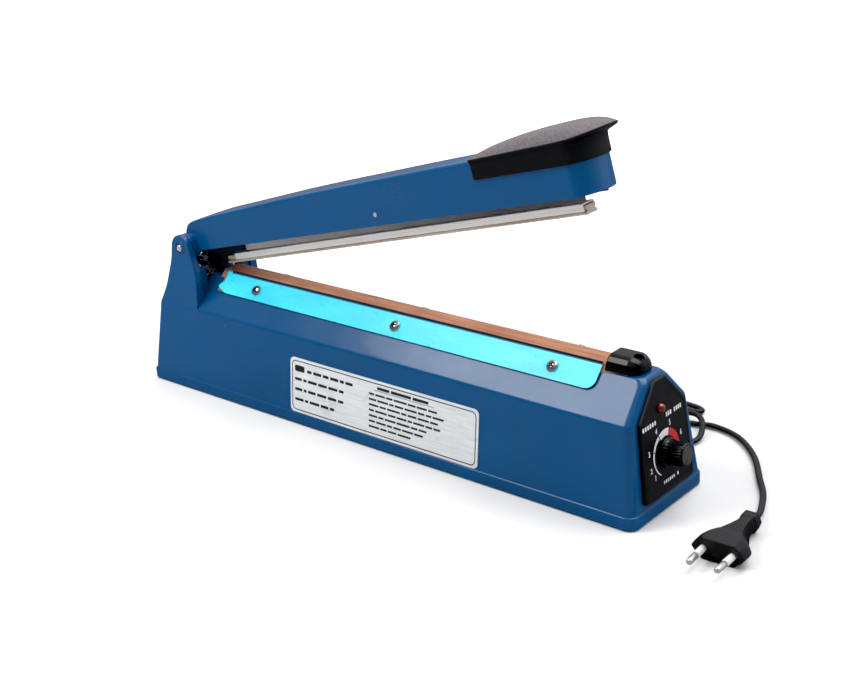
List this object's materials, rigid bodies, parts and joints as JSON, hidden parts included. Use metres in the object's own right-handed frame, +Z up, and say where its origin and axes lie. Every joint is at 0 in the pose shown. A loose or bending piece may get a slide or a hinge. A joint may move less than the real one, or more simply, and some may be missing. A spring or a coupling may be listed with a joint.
{
  "type": "impulse heat sealer",
  "caption": "Bench-top impulse heat sealer: hinged arm with floating pressure bar closing on a ribbon-heated ledge, timer knob and lamp on the end panel, mains cable with plug.",
  "frame": {"origin": "centre of the flat bottom face that the machine rests on", "axes": "+X along the base towards the control panel, +Z up, -Y towards the operator's side that carries the instruction plate"},
  "size_m": [0.4918, 0.1882, 0.2262],
  "materials": {
    "blue_moulding": "glossy moulded",
    "black_plastic": "fine textured moulded",
    "gloss_black": "glossy moulded",
    "grip_black": "textured moulded",
    "plated_steel": "nickel plated",
    "spring_steel": "drawn wire",
    "sheet_steel": "zinc plated sheet",
    "aluminium_profile": "extruded, satin",
    "silicone": "matt silicone",
    "ptfe_glass_cloth": "coated glass cloth",
    "film": "thin protective film",
    "phenolic": "laminate",
    "brass": "turned",
    "red_lens": "translucent lens",
    "label_plate": "printed plate",
    "print_white": "screen print",
    "print_red": "screen print",
    "cord_pvc": "flexible PVC",
    "bottom_sheet": "black painted sheet",
    "silicon_steel": "laminations",
    "copper_winding": "enamelled wire",
    "circuit_board": "laminate board",
    "light_plastic": "moulded"
  },
  "bodies": {
    "base": {"base_housing": "blue_moulding", "bottom_plate": "bottom_sheet", "ledge_strip": "phenolic", "heating_ribbon": "spring_steel", "ptfe_cloth": "ptfe_glass_cloth", "clamp_plate_front": "sheet_steel", "clamp_plate_rear": "sheet_steel", "protective_film_front": "film", "protective_film_rear": "film", "terminal_cap": "gloss_black", "terminal_cap_screw": "plated_steel", "ribbon_terminal_right": "brass", "ribbon_terminal_left": "brass", "control_panel": "black_plastic", "dial_scale_white": "print_white", "dial_scale_red": "print_red", "indicator_lamp": "red_lens", "timer_potentiometer": "sheet_steel", "instruction_plate": "label_plate", "hinge_pin": "plated_steel", "hinge_pin_clip": "spring_steel", "microswitch": "black_plastic", "return_spring_front": "spring_steel", "return_spring_rear": "spring_steel", "transformer_core": "silicon_steel", "transformer_winding": "copper_winding", "timer_board": "circuit_board", "timer_relay": "light_plastic", "timer_capacitor": "gloss_black", "board_heatsink": "aluminium_profile", "strain_relief": "black_plastic", "mains_cable": "cord_pvc", "plug_body": "cord_pvc", "plug_pin_left": "plated_steel", "plug_pin_right": "plated_steel", "bottom_screw_1": "plated_steel", "bottom_screw_2": "plated_steel", "bottom_screw_3": "plated_steel", "bottom_screw_4": "plated_steel", "clamp_screw_front_1": "plated_steel", "clamp_screw_front_2": "plated_steel", "clamp_screw_front_3": "plated_steel", "clamp_screw_rear_1": "plated_steel", "clamp_screw_rear_2": "plated_steel", "clamp_screw_rear_3": "plated_steel"},
    "arm": {"arm_shell": "blue_moulding", "grip_cap": "grip_black", "arm_rail": "sheet_steel", "switch_actuator": "black_plastic", "float_pin": "plated_steel"},
    "bar": {"pressure_bar": "aluminium_profile", "silicone_strip": "silicone", "bar_hanger": "sheet_steel"},
    "knob": {"timer_knob": "gloss_black", "potentiometer_shaft": "spring_steel"},
    "plunger": {"microswitch_plunger": "red_lens"}
  },
  "joints": [
    {"name": "arm_hinge", "type": "hinge", "parent": "base", "child": "arm", "pos_m": [-0.1759, 0, 0.1049], "axis": [0, 1, 0], "range_deg": [0, 14.24], "stiffness_Nm_per_rad": 1.5, "springref_deg": -28.65, "deforming": ["return_spring_front", "return_spring_rear"]},
    {"name": "bar_rock", "type": "hinge", "parent": "arm", "child": "bar", "pos_m": [0.00818, 0, 0.15437], "axis": [0, 1, 0], "range_deg": [0, 0.6]},
    {"name": "timer_turn", "type": "hinge", "parent": "base", "child": "knob", "pos_m": [0.21595, -0.0014, 0.038], "axis": [-0.9944, 0, -0.1057], "range_deg": [0, 240]},
    {"name": "switch_press", "type": "slide", "parent": "base", "child": "plunger", "axis": [0, 0, -1], "range_m": [0, 0.00125]}
  ],
  "couplings": [
    {"joint": "bar_rock", "follows": "arm_hinge", "ratio": 0.04143},
    {"joint": "switch_press", "follows": "arm_hinge", "m_per_rad": 0.004828}
  ]
}
